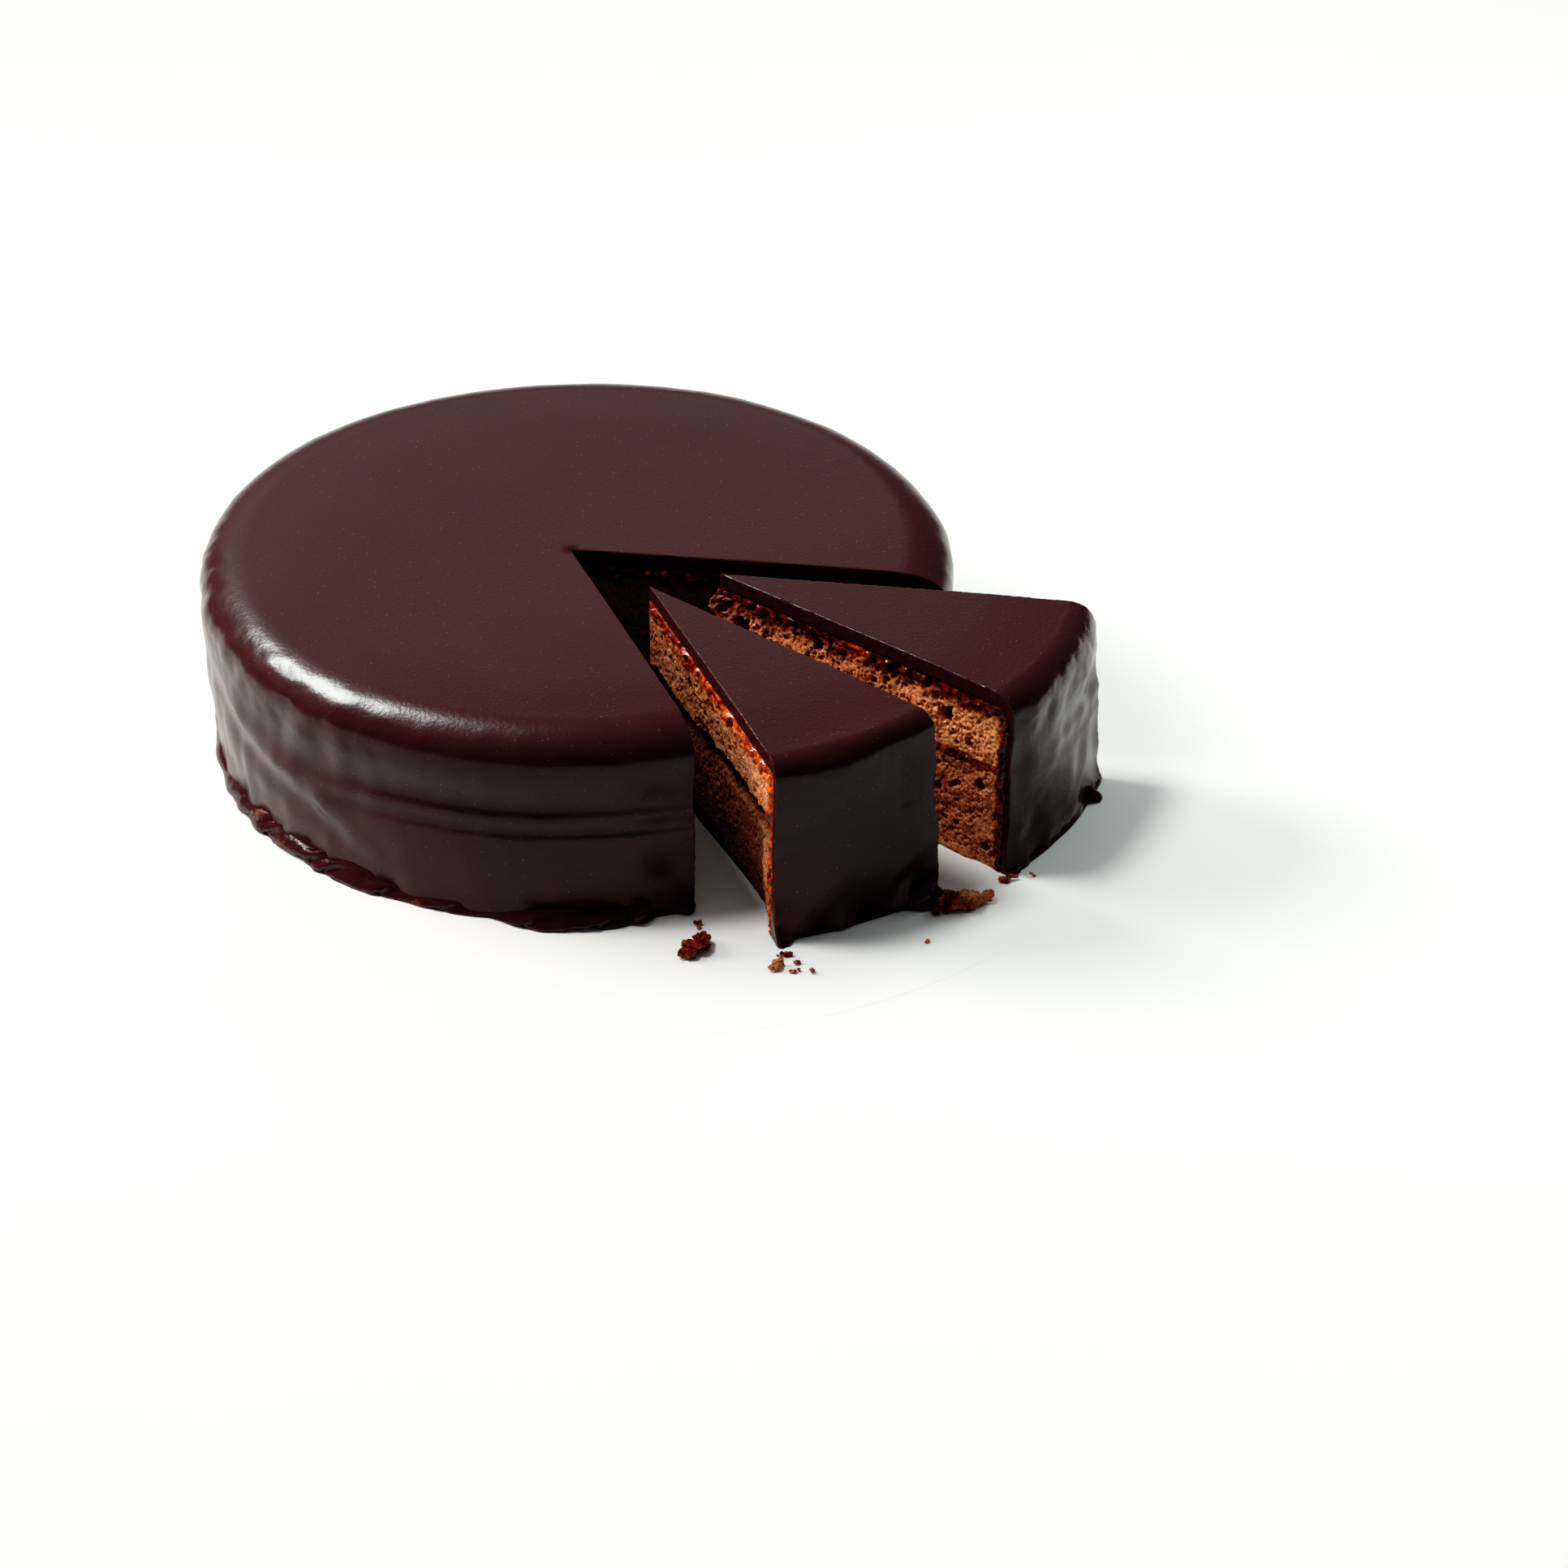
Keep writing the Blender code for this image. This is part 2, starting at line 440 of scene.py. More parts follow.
def torn_out(wedge, face, radius, z, from_jam, upper):
    """How far the crumb beside the middle jam is torn back, and how dark it is painted there as
    shade.
    """
    worn = from_jam + 0.9 * noise(face, 2.6, 20) + 0.7 * noise(face, 8.0, 25)
    deep = wedge.recess * (1.0 if upper else 1.5)
    torn = 1.0 - eased(worn, 0.4 * deep, deep)
    torn *= np.exp(-(((radius - TORN_MIDDLE) / TORN_REACH) ** 4))
    # The torn-back crumb is darkened as painted shade.
    back, dark = 6.0 * torn, torn**0.6
    # The lower layer is also set back, and it is darkened as painted shade towards its inner end.
    if not upper:
        spread = radius + 0.25 * z + 2.5 * noise(face, 6.0, 26)
        inner = 1.0 - eased(spread, 84.0, 103.0)
        back, dark = back + 4.0 * inner, np.maximum(dark, 0.6 * inner)
    return back, dark


def soaked(face, from_side, from_top):
    """How much jam the crumb near the jam coat has soaked up."""
    away = np.minimum(from_side + 1.0, from_top * 0.8)
    away = away + 1.3 * noise(face, 3.0, 17) + 0.8 * noise(face, 1.2, 18)
    return 1.0 - eased(away, 0.4, 4.8)


def make_sponge(wedge, layer, low, high, spacing, steps, draws, material):
    """A layer of sponge from low to high, or up to the dome of its top where high is None."""
    upper = high is None
    tall = (TOP - ICING_TOP - JAM_TOP if upper else high) - low
    columns, rows = round(SPONGE_REACH / spacing), round(tall / spacing)
    section = sponge_section(wedge.profile, low, high)
    piece = spun_layer(wedge.node(layer), wedge, section, columns, rows, steps)
    points, radius, angle, z = out_of_round(piece, wedge)
    across = noted(piece, "across")
    reach = wedge.out_of_round(SPONGE_REACH, angle, z)
    extent = ((0.0, low), (SPONGE_REACH, low + tall))
    painted_shade, soak, painted_jam_light, painted_light = np.zeros((4, len(points)))
    for cut, on, outwards in cut_faces(wedge, radius, angle):
        face, out, share = points[on], radius[on], across[on]
        spots = np.column_stack([out, z[on]])
        lift, dark = crumb_relief(face, spots, extent, draws)
        # The crumb at the layer's lower and upper edge is torn.
        edge = np.minimum(share, 1.0 - share) * tall
        lift -= 0.5 * (1.0 - eased(edge + 0.5 * noise(face, 1.5, 16), 0.0, 1.0))
        if cut == wedge.first:
            opened = open_holes(wedge, face, out, z[on])
            # The large holes are sunk and also darkened as painted shade.
            lift, dark = lift - 3.0 * opened, np.maximum(dark, opened)
        if cut == wedge.first and wedge.recess:
            from_jam = share * tall if upper else (1.0 - share) * tall
            back, hollow = torn_out(wedge, face, out, z[on], from_jam, upper)
            lift, dark = lift - back, np.maximum(dark, hollow)
        # Painted light: the slices' upper crumb gets a lit, brighter orange colour towards its
        # outer end, weaker on the first slice than the second.
        if cut == wedge.first and upper and not wedge.whole:
            painted_light[on] = eased(out + 6.0 * noise(face, 9.0, 24), 45.0, 88.0)
            painted_light[on] *= 0.35 if wedge.recess else 1.0
        from_top = (1.0 - share) * tall if upper else np.full(len(face), tall + TOP)
        soak[on] = soaked(face, reach[on] - out, from_top)
        nuggets = domes(spots, *scattered(extent, 0.10, 0.8, 1.7, draws), 0.6)
        lift += 0.8 * nuggets * soak[on]
        painted_jam_light[on] = wedge.painted_jam_light(cut, out)
        # Painted shade: pores, holes and torn crumb are darkened, and the cake's own cut faces,
        # which stand in the shaded notch, are darkened to at least 0.6 all over.
        painted_shade[on] = np.maximum(dark, 0.6) if wedge.whole else dark
        lift *= eased(out, 0.0, 2.0)
        points[on] += lift[:, None] * outwards
    note(piece, "painted_shade", painted_shade)
    note(piece, "soak", soak)
    note(piece, "painted_jam_light", painted_jam_light)
    note(piece, "painted_light", painted_light)
    move_corners(piece, wedge.tip_crumb(points, radius))
    return finished(piece, [wedge.node(layer)], material, 60.0)


# ---- jam ----------------------------------------------------------------------------------------
def make_jam_coat(wedge, columns, rows, steps, draws, material):
    profile = wedge.profile
    lengths = profile.crowded(columns, 0.55)

    def section(along, across):
        length = np.interp(along, np.linspace(0.0, 1.0, columns + 1), lengths)
        thick = 1.0 - across
        side = ICING_SIDE - 0.1 + (JAM_SIDE + 0.5) * thick
        return profile.inset(length, side, ICING_TOP - 0.1 + (JAM_TOP + 0.5) * thick)

    piece = spun_layer(wedge.node("jam_coat"), wedge, section, columns, rows, steps)
    points, radius, angle, _ = out_of_round(piece, wedge)
    along, across = noted(piece, "along"), noted(piece, "across")
    length = np.interp(along, np.linspace(0.0, 1.0, columns + 1), lengths)
    extent = ((0.0, -0.6), (profile.whole, JAM_TOP - 0.5))
    painted_jam_light = np.zeros(len(points))
    for cut, on, outwards in cut_faces(wedge, radius, angle):
        ragged = 1.3 * noise(points[on], 3.2, 21) + 0.8 * noise(points[on], 1.2, 22)
        inner = (1.0 - across[on]) ** 1.5
        top = eased(length[on], profile.side_top, profile.flat_from)
        points[on, 2] -= ragged * inner * top
        points[on, :2] -= np.outer(ragged * inner * (1.0 - top), [math.cos(cut), math.sin(cut)])
        spots = np.column_stack([length[on], across[on] * JAM_TOP])
        lumps = domes(spots, *scattered(extent, 0.10, 0.7, 1.9, draws), 0.6)
        grit = domes(spots, *scattered(extent, 0.9, 0.3, 0.7, draws), 0.6)
        pits = domes(spots, *scattered(extent, 0.12, 0.4, 1.0, draws), 0.6)
        lift = 0.8 * lumps + 0.7 * grit - 0.8 * pits - 0.25 + 0.5 * noise(points[on], 4.0, 23)
        # Painted light and shade on the jam of this cut.
        painted_jam_light[on] = wedge.painted_jam_light(cut, radius[on])
        under_icing = eased(across[on], 0.62, 0.95)
        lift = lift * (1.0 - under_icing) - 1.1 * under_icing
        lift *= eased(radius[on], 0.0, 1.5)
        points[on] += lift[:, None] * outwards
    note(piece, "painted_jam_light", painted_jam_light)
    move_corners(piece, wedge.tip_crumb(points, radius))
    return finished(piece, [wedge.node("jam_coat")], material)


def make_jam_middle(wedge, columns, rows, steps, draws, material):
    low, high = JAM_LINE

    def section(along, across):
        return along * (SPONGE_REACH - 0.6), low - 0.4 + (high - low + 0.8) * across

    piece = spun_layer(wedge.node("jam_middle"), wedge, section, columns, rows, steps)
    points, radius, angle, z = out_of_round(piece, wedge)
    extent = ((0.0, low), (SPONGE_REACH, high))
    for cut, on, outwards in cut_faces(wedge, radius, angle):
        spots = np.column_stack([radius, z])[on]
        lumps = domes(spots, *scattered(extent, 0.2, 0.7, 1.5, draws), 0.6)
        deep = 4.0 if wedge.recess and cut == wedge.first else 0.6
        lift = 0.9 * lumps - deep + 0.4 * noise(points[on], 6.0, 31)
        lift += 0.8 * noise(points[on], 2.2, 32) * (deep < 1.0)
        lift *= eased(radius[on], 0.0, 3.0)
        points[on] += lift[:, None] * outwards
    # Painted light on the middle jam; the first slice's recessed middle jam, which lies in shade,
    # gets none.
    note(piece, "painted_jam_light", np.full(len(points), 0.0 if wedge.recess else 0.3))
    move_corners(piece, points)
    return finished(piece, [wedge.node("jam_middle")], material)


# ---- icing --------------------------------------------------------------------------------------
def left_ridge(angle, length):
    """A fold on the cake's left that runs down to the foot, with a hollow under it."""
    angle = np.degrees(angle)
    line = np.interp(angle, (200.0, 212.0, 227.0, 237.0, 246.0), (35.0, 30.0, 24.0, 13.0, 4.0))
    here = eased(angle, 196.0, 208.0) * (1.0 - eased(angle, 222.0, 242.0))
    return here * (1.1 * bell(length, line + 3.0, 5.6) - 1.0 * bell(length, line - 5.0, 5.4))


def side_ripples(wedge, angle, length, points):
    """How the poured icing's outer face stands in and out."""
    side = 1.0 - eased(length, wedge.profile.side_top - 2.0, wedge.profile.flat_from - 2.0)
    wander = 0.8 * np.sin(3.0 * angle + 0.7) + 0.5 * np.sin(8.0 * angle)
    if wedge.whole:
        wander = wander - 3.0 * (1.0 - eased(angle, math.radians(224.0), math.radians(262.0)))
    ledges = np.zeros(len(angle))
    for height, width, depth, back in LEDGES:
        strength = (0.95 + 0.15 * np.sin(4.0 * angle + height)) * wedge.lined(angle)
        low, high = height + wander - width, height + wander + width
        above = eased(length, low, high) * (1.0 - eased(length, high, high + back))
        ledges -= depth * strength * above
    around = RADIUS * angle
    slanted = np.column_stack([around - 0.8 * length, 0.28 * length, np.zeros(len(angle))])
    upright = np.column_stack([around, 0.3 * length, np.full(len(angle), 40.0)])
    if wedge.whole:
        broad = 0.60 * noise(points * [1.0, 1.0, 0.6], 26.0, 41) + left_ridge(angle, length)
    else:
        broad = 1.3 * noise(points * [0.7, 0.7, 1.0], 17.0, 47)
    drape = 0.34 * noise(slanted, 11.0, 42) + 0.30 * noise(upright, 8.0, 45)
    pucker = 0.13 * noise(points, 4.2, 43) * bell(length, 50.0, 8.0)
    pucker += 0.07 * noise(points, 2.4, 46) * bell(length, 56.0, 8.0)
    lower = 0.35 * noise(points, 10.0, 44) * (1.0 - eased(length, 6.0, 26.0))
    calm = wedge.calm(angle)
    return side * (ledges + broad + calm * (drape + lower)) + calm * pucker


def foot_flare(wedge, angle, length):
    """The icing that ran down and set round the foot."""
    folds = 0.6 + 0.25 * np.sin(7.0 * angle + 0.6) + 0.15 * np.sin(17.0 * angle)
    if wedge.whole:
        return 1.3 * folds * np.clip(1.0 - length / 5.5, 0.0, 1.0) ** 1.6
    waves = noise(np.column_stack([RADIUS * angle, 0.4 * length, 0.0 * angle]), 5.0, 54)
    lobes = np.sin(2.0 * math.pi * (angle - wedge.first) / math.radians(10.0) + 0.6)
    if wedge is SLICE_1:
        ragged = 1.3 * waves + 1.9 * lobes + 2.2 * bell(angle, wedge.first, 0.05)
    else:
        ragged = 0.78 * waves + 0.25 * lobes
    return (0.5 * folds + ragged) * np.clip(1.0 - length / 9.0, 0.0, 1.0) ** 1.5


def hem(wedge, angle, length):
    """How far the icing's lower edge has drawn up off the floor."""
    if wedge is not SLICE_1:
        return 0.0
    share = (angle - wedge.first) / (wedge.last - wedge.first)
    lifted = 3.4 * np.exp(-(((share - 0.80) / 0.085) ** 2)) + 1.2 * bell(share, 0.42, 0.05)
    return lifted * np.clip(1.0 - length / 16.0, 0.0, 1.0)


def drawn_to_cuts(wedge, radius, angle, steps):
    """Angles of the icing's rings, the first few drawn close to each cut to round its edge."""
    step = (wedge.last - wedge.first) / steps
    safe = np.maximum(radius, 1e-3)
    for cut, way in ((wedge.first, 1.0), (wedge.last, -1.0)):
        away = way * (angle - cut)
        for ring, gap in enumerate(RING_GAPS, start=1):
            here = np.abs(away - ring * step) < 0.3 * step
            angle = np.where(here, cut + way * np.minimum(ring * step, gap / safe), angle)
    return angle


def rounded_arris(wedge, points, radius, angle):
    """How far the icing is rounded off beside its cuts, worn more in some places."""
    away = np.minimum(angle - wedge.first, wedge.last - angle) * radius
    away = np.where(radius < 1e-3, ARRIS, away)
    worn = ARRIS * np.clip(0.75 + 0.9 * noise(points, 1.5, 51), 0.2, 1.6)
    short = np.clip(worn - away, 0.0, None)
    return worn - np.sqrt(np.clip(worn**2 - short**2, 0.0, None))


def make_icing(wedge, columns, rows, steps, flat_share, material):
    profile = wedge.profile
    lengths = profile.crowded(columns, flat_share)

    def section(along, across):
        length = np.interp(along, np.linspace(0.0, 1.0, columns + 1), lengths)
        return profile.inset(length, ICING_SIDE * (1.0 - across), ICING_TOP * (1.0 - across))

    piece = spun_layer(wedge.node("icing"), wedge, section, columns, rows, steps)
    points = corners(piece)
    radius, angle, z = wedge.polar(points)
    along, across = noted(piece, "along"), noted(piece, "across")
    length = np.interp(along, np.linspace(0.0, 1.0, columns + 1), lengths)

    angle = drawn_to_cuts(wedge, radius, angle, steps)
    points = wedge.place(radius, angle, z)
    rounding = rounded_arris(wedge, points, radius, angle)
    outer = eased(across, 0.0, 1.0)
    stand = side_ripples(wedge, angle, length, points) * outer - rounding * (2.0 * across - 1.0)
    along_r, along_z = profile.tangent(length)
    radius = radius + stand * along_z
    z = z - stand * along_r
    radius = radius + foot_flare(wedge, angle, length) * outer
    radius = wedge.out_of_round(radius, angle, z)
    z = np.maximum(z, 0.0) + hem(wedge, angle, length)
    points = wedge.place(np.maximum(radius, 0.0), angle, z)
    for cut, on, outwards in cut_faces(wedge, radius, angle):
        lift = 0.12 * noise(points[on], 3.0, 52) + 0.08 * noise(points[on], 1.1, 53)
        points[on] += (lift * eased(radius[on], 0.0, 3.0))[:, None] * outwards
    move_corners(piece, points)
    return finished(piece, [wedge.node("icing")], material, 50.0)


# ---- folds of icing round the foot --------------------------------------------------------------
def bead_size(folds, plain, angle):
    """The bead's width, height and depth of crease at each angle."""
    width = plain[0] * (1.0 + 0.35 * np.sin(11.0 * angle + 1.0) + 0.25 * np.sin(29.0 * angle))
    height = plain[1] * (1.0 + 0.25 * np.sin(9.0 * angle + 2.0) + 0.2 * np.sin(23.0 * angle + 1.0))
    crease = 0.12
    for middle, spread, wider, higher, deeper in folds:
        share = np.exp(-(((np.degrees(angle) - middle) / spread) ** 4))
        width, height = width + wider * share, height + higher * share
        crease = crease + deeper * share
    return width, height, crease


def make_skirt(wedge, folds, plain, steps, material):
    """The bead of set icing round the foot, rolled into slanting folds and swollen in places.

    Plain is the bead's width and height between the folds. Each fold is an angle and a spread in
    degrees, and how much wider, higher and more creased the bead is there.
    """
    deselect_all()
    bpy.ops.mesh.primitive_circle_add(vertices=BEAD_SIDES, radius=1.0, fill_type="NGON")
    piece = bpy.context.object
    piece.name = piece.data.name = wedge.name + "_skirt"
    ring = corners(piece) * MM
    turn = np.arctan2(ring[:, 1], ring[:, 0])
    note(piece, "turn", turn)
    foot = FOOT_RADIUS + 0.4
    start = wedge.place(foot + np.cos(turn), np.full(len(turn), wedge.first), 1.5 + np.sin(turn))
    move_corners(piece, start)
    spin_round(wedge, steps)
    points = corners(piece)
    radius, angle, z = wedge.polar(points)
    turn = noted(piece, "turn")

    width, height, crease = bead_size(folds, plain, angle)
    around = RADIUS * angle
    wobble = noise(np.column_stack([around, 0.0 * angle, 4.0 * z]), 15.0, 61)
    phase = around / STRAND - 0.62 * turn + 0.5 * wobble
    part = phase - np.floor(phase)
    strand = eased(part, 0.0, 0.75) - eased(part, 0.86, 1.0) - 0.5
    fine = noise(np.column_stack([0.2 * around, z, radius]), 0.9, 62)
    coarse = noise(np.column_stack([0.4 * around, z, radius]), 3.5, 63)
    swell = 1.0 + crease * (strand + 0.4 * coarse) + (0.04 + 0.10 * crease) * fine
    ends = np.minimum(angle - wedge.first, wedge.last - angle) * RADIUS
    swell *= np.sqrt(np.clip(ends / 2.5, 0.06, 1.0))
    z = np.maximum(0.85 * height + (height + 0.3) * swell * np.sin(turn), 0.0)
    lean = 0.5 * (z - 0.8 * height)
    wall = side_radius(2.0) + 0.5 * width - 0.5 + wedge.bulge(angle, z)
    radius = wall + (width + 0.5) * swell * np.cos(turn) - lean
    note(piece, "rust", crease * (strand + 0.8 * fine + coarse))
    move_corners(piece, wedge.place(radius, angle, z))
    return finished(piece, [], material)


# ---- crumbs -------------------------------------------------------------------------------------
def turned(x, y, turn):
    """A place turned about +Z."""
    return x * math.cos(turn) - y * math.sin(turn), x * math.sin(turn) + y * math.cos(turn)


def make_crumb(middle, size, stretch, turn, seed):
    """One torn bit of sponge: a ball pushed in and out by noise."""
    deselect_all()
    bpy.ops.mesh.primitive_ico_sphere_add(subdivisions=4, radius=size * MM)
    crumb = bpy.context.object
    points = corners(crumb)
    spots = points + [37.0 * seed, 11.0 * seed, 0.0]
    lumps = 0.34 * noise(spots, 0.9 * size, seed) + 0.22 * noise(spots, 0.4 * size, 5)
    lumps += 0.12 * noise(spots, 0.2 * size + 0.3, 6)
    points = points * (1.0 + lumps)[:, None] * stretch
    x, y = turned(points[:, 0], points[:, 1], turn)
    z = np.maximum(points[:, 2] + 0.72 * size * stretch[2] + middle[2], 0.02)
    move_corners(crumb, np.column_stack([x + middle[0], y + middle[1], z]))
    return crumb


def joined(name, parts):
    deselect_all()
    for part in parts:
        part.select_set(True)
    bpy.context.view_layer.objects.active = parts[0]
    bpy.ops.object.join()
    piece = bpy.context.object
    piece.name = piece.data.name = name
    return piece


def heaped_crumb(heap, draws):
    """One crumb of a heap. A heap of one crumb is that crumb, as large as the heap."""
    x, y, long, wide, high, turn, count = heap
    turn = math.radians(turn)
    along, beside = draws.uniform(-0.5, 0.5, 2) if count > 1 else (0.0, 0.0)
    taper = 1.0 - 1.6 * along * along
    size = 0.26 * min(wide, 1.6 * high) * draws.uniform(0.7, 1.3) * taper
    rise, spin = 0.0, turn
    if count > 1:
        along, beside = along * (long - size), beside * (wide - size) * taper
        rise = draws.uniform(0.0, max(high - 1.7 * size, 0.0)) * taper
    stretch = (draws.uniform(1.0, 1.5), 1.0, draws.uniform(0.75, 1.0))
    if count > 1:
        spin = draws.uniform(0.0, math.pi)
    else:
        least = min(long, wide)
        size, stretch = 0.5 * least, (long / least, wide / least, high / least)
    place = CAKE.axis + turned(along, beside, turn)
    seed = int(draws.integers(1, 90))
    return make_crumb((place[0] + x, place[1] + y, rise), size, stretch, spin, seed)


def make_heap(name, heaps, draws, material):
    """Crumbs in small heaps: place from the cake's axis, length, width, height, turn and count."""
    parts = [heaped_crumb(heap, draws) for heap in heaps for _ in range(heap[-1])]
    piece = joined(name, parts)
    spots = corners(piece)
    note(piece, "soak", 0.35 + 0.5 * eased(noise(spots, 4.0, 71), -0.5, 0.3))
    # Painted light: the crumbs' soaked parts get an even share of the lit jam colour.
    note(piece, "painted_jam_light", np.full(len(spots), 0.25))
    return finished(piece, [], material)


# ---- materials ----------------------------------------------------------------------------------
class Wire:
    """A shader socket that takes part in sums as a plain number does."""

    def __init__(self, look, socket):
        self.look, self.socket = look, socket

    def __add__(self, other):
        return self.look.sum("ADD", self, other)

    def __mul__(self, other):
        return self.look.sum("MULTIPLY", self, other)

    def __rsub__(self, other):
        return self.look.sum("SUBTRACT", other, self)


class Look:
    """A material being made, with its shader's constants set on their own sockets."""

    def __init__(self, name, **constants):
        self.material = bpy.data.materials.new(name)
        self.material.use_nodes = True
        self.tree = self.material.node_tree
        self.shader = self.tree.nodes["Principled BSDF"]
        for socket, value in constants.items():
            self.shader.inputs[socket.replace("_", " ")].default_value = value
        place = self.node("ShaderNodeTexCoord", out="Object")
        self.place = self.node("ShaderNodeMapping", {}, {"Vector": place, "Scale": (1000.0,) * 3})

    def node(self, kind, settings=None, inputs=None, out=0):
        node = self.tree.nodes.new(kind)
        for key, value in (settings or {}).items():
            setattr(node, key, value)
        for key, value in (inputs or {}).items():
            self.feed(node.inputs[key], value)
        return Wire(self, node.outputs[out])

    def feed(self, socket, value):
        if isinstance(value, Wire):
            self.tree.links.new(value.socket, socket)
        else:
            socket.default_value = value

    def sum(self, operation, first, second):
        return self.node("ShaderNodeMath", {"operation": operation}, {0: first, 1: second})

    def ramp(self, value, low, high):
        """0 below low and 1 above high."""
        inputs = {"Value": value, "From Min": low, "From Max": high}
        return self.node("ShaderNodeMapRange", {"interpolation_type": "SMOOTHSTEP"}, inputs)

    def grain(self, per_mm, detail=2.0, roughness=0.5):
        inputs = {"Vector": self.place, "Scale": per_mm, "Detail": detail, "Roughness": roughness}
        return self.node("ShaderNodeTexNoise", {}, inputs)

    def cells(self, per_mm, out="Distance"):
        return self.node("ShaderNodeTexVoronoi", {}, {"Vector": self.place, "Scale": per_mm}, out)

    def mix(self, share, first, second):
        node = self.tree.nodes.new("ShaderNodeMix")
        node.data_type = "RGBA"
        self.feed(node.inputs[0], share)
        for index, colour in ((6, first), (7, second)):
            self.feed(node.inputs[index], colour if isinstance(colour, Wire) else (*colour, 1.0))
        return Wire(self, node.outputs[2])

    def written(self, name):
        return self.node("ShaderNodeAttribute", {"attribute_name": name}, out="Fac")

    def colour(self, value):
        self.feed(self.shader.inputs["Base Color"], value)

    def roughness(self, value):
        self.feed(self.shader.inputs["Roughness"], value)

    def bump(self, height, distance, strength=1.0):
        inputs = {"Height": height, "Distance": distance * MM, "Strength": strength}
        normal = self.node("ShaderNodeBump", {}, inputs)
        self.feed(self.shader.inputs["Normal"], normal)


def icing_look():
    look = Look("chocolate_icing", IOR=1.37)
    cloud = look.grain(0.035, 3.0)
    colour = look.mix(cloud, (0.041, 0.0160, 0.0166), (0.049, 0.0190, 0.0197))
    speck = look.cells(0.62)
    pick = look.node("ShaderNodeSeparateColor", {}, {"Color": look.cells(0.62, "Color")})
    fleck = (1.0 - look.ramp(speck, 0.05, 0.11)) * look.ramp(pick, 0.45, 0.75)
    look.colour(look.mix(fleck * 0.75, colour, (0.34, 0.17, 0.105)))
    look.roughness(look.grain(0.12) * 0.03 + 0.235)
    look.bump(look.grain(0.9) + look.grain(0.17, 1.0) * 0.3, 0.12, 0.5)
    return look.material


def skirt_look():
    look = Look("set_icing", IOR=1.42)
    rust = look.ramp(look.written("rust") + look.grain(1.1, 5.0, 0.7) * 1.6, 1.3, 1.75)
    colour = look.mix(rust, (0.036, 0.0112, 0.0122), (0.13, 0.036, 0.022))
    look.colour(colour)
    look.roughness(rust * 0.2 + 0.15 + look.grain(0.4) * 0.12)
    look.bump(look.grain(0.9, 4.0), 0.25, 0.7)
    return look.material


def sponge_look():
    look = Look("chocolate_sponge", IOR=1.4)
    grain = look.grain(1.5, 4.0, 0.7)
    patch = look.grain(0.16)
    speckle = look.ramp(grain, 0.36, 0.62)
    base = look.mix(speckle, (0.23, 0.072, 0.036), (0.98, 0.41, 0.21))
    base = look.mix(look.ramp(patch, 0.4, 0.65) * 0.4, base, (0.38, 0.125, 0.060))
    # A lit, brighter copy of the crumb colour, painted where light falls on the slices' upper
    # crumb.
    bright = look.mix(speckle, (0.52, 0.13, 0.046), (1.0, 0.50, 0.25))
    base = look.mix(look.written("painted_light"), base, bright)
    # Painted light and shade: jam-soaked crumb is mixed from a shaded dark red and a lit, glowing
    # orange copy.
    soak, painted_jam_light = look.written("soak"), look.written("painted_jam_light")
    blotch = look.ramp(look.grain(0.5, 3.0), 0.4, 0.62)
    dark = look.mix(blotch, (0.020, 0.004, 0.003), (0.11, 0.021, 0.011))
    bright = look.mix(blotch, (0.20, 0.022, 0.009), (0.85, 0.18, 0.045))
    base = look.mix(soak, base, look.mix(painted_jam_light, dark, bright))
    # Painted shade: pores, holes, torn-back crumb and the notch faces sink towards a near-black
    # brown.
    look.colour(look.mix(look.written("painted_shade"), base, (0.035, 0.008, 0.004)))
    look.roughness(0.85 - soak * 0.5)
    look.bump(look.grain(2.4, 4.0, 0.7), 0.3, 0.8)
    return look.material


def jam_look():
    look = Look(
        "apricot_jam",
        IOR=1.45,
        Subsurface_Weight=0.15,
        Subsurface_Radius=(1.0, 0.25, 0.08),
        Subsurface_Scale=0.003,
    )
    # Painted light and shade: the jam is mixed from a shaded dark red and a lit, glowing orange
    # copy.
    blotch = look.ramp(look.grain(0.5, 3.0), 0.35, 0.65)
    dark = look.mix(blotch, (0.018, 0.003, 0.003), (0.085, 0.014, 0.008))
    bright = look.mix(blotch, (0.18, 0.018, 0.008), (0.75, 0.14, 0.034))
    look.colour(look.mix(look.written("painted_jam_light"), dark, bright))
    look.roughness(look.grain(1.2) * 0.15 + 0.14)
    look.bump(look.grain(1.1, 3.0), 0.25, 0.6)
    return look.material


def floor_look():
    look = Look("pale_floor", IOR=1.3, Roughness=0.8, Specular_IOR_Level=0.1)
    look.colour(look.mix(look.grain(0.01), (0.81, 0.85, 0.835), (0.82, 0.86, 0.845)))
    return look.material


# ---- making the cake ----------------------------------------------------------------------------
icing_material, skirt_material = icing_look(), skirt_look()
sponge_material, jam_material = sponge_look(), jam_look()
for wedge in WEDGES:
    whole = wedge.whole
    spacing, turns = (0.55, 40) if whole else (0.36, 8)
    make_sponge(wedge, "sponge_lower", 0.0, JAM_LINE[0], spacing, turns, rng, sponge_material)
    make_sponge(wedge, "sponge_upper", JAM_LINE[1], None, spacing, turns, rng, sponge_material)
    make_jam_middle(wedge, 200 if whole else 280, 6, turns, rng, jam_material)
    make_jam_coat(wedge, 220 if whole else 330, 8, turns, rng, jam_material)
    if whole:
        make_icing(wedge, 118, 3, 380, 0.22, icing_material)
    else:
        make_icing(wedge, 260, 6, 64, 0.4, icing_material)

